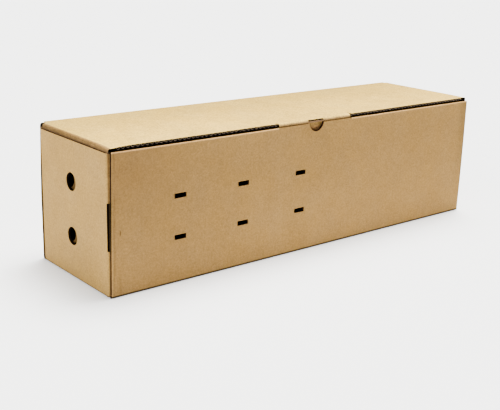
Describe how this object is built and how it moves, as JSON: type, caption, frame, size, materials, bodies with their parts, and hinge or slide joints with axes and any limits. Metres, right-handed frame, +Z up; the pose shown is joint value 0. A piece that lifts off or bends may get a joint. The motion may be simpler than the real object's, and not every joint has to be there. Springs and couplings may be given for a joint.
{
  "type": "flower shipping box",
  "caption": "Long corrugated cardboard box for shipping cut flowers, with a hinged tuck-in lid, tie slots in the front and air holes in the ends.",
  "frame": {"origin": "centre of the box's footprint, on the surface it stands on", "axes": "+X along the length to the right as seen from the front, the front panel faces -Y, +Z up"},
  "size_m": [0.724, 0.195, 0.2058],
  "materials": {
    "kraft_board": "matte"
  },
  "bodies": {
    "tray": {"tray": "kraft_board"},
    "lid": {"lid": "kraft_board"}
  },
  "joints": [
    {"name": "lid_hinge", "type": "hinge", "parent": "tray", "child": "lid", "pos_m": [0, 0.0955, 0.2038], "axis": [-1, 0, 0], "range_deg": [0, 180]}
  ]
}
